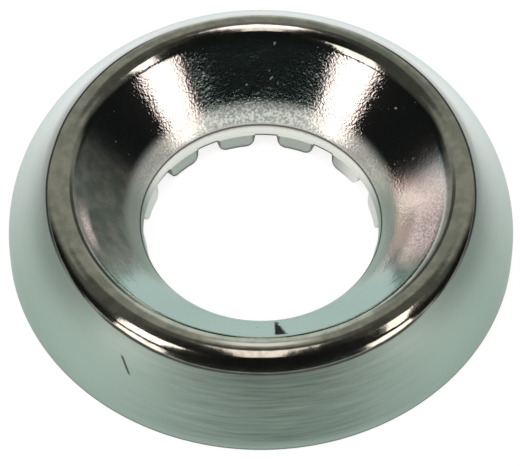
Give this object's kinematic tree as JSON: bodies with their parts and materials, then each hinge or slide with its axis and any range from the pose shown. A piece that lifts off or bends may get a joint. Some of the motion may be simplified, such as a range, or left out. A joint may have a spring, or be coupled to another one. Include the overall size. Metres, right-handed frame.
{
  "type": "finishing cup washer",
  "caption": "Raised finishing cup washer pressed from thin sheet: domed skirt, rounded crest, countersunk cone for a screw head and a small toothed collar round the hole.",
  "frame": {"origin": "middle of the base, on the surface that the washer is screwed down to", "axes": "+Z along the screw's axis, up and out of the cup; the middle of one collar tooth lies on +X"},
  "size_m": [0.015, 0.015, 0.003],
  "materials": {
    "nickel_plate": "polished"
  },
  "bodies": {
    "root": {"cup_washer": "nickel_plate"}
  },
  "joints": []
}
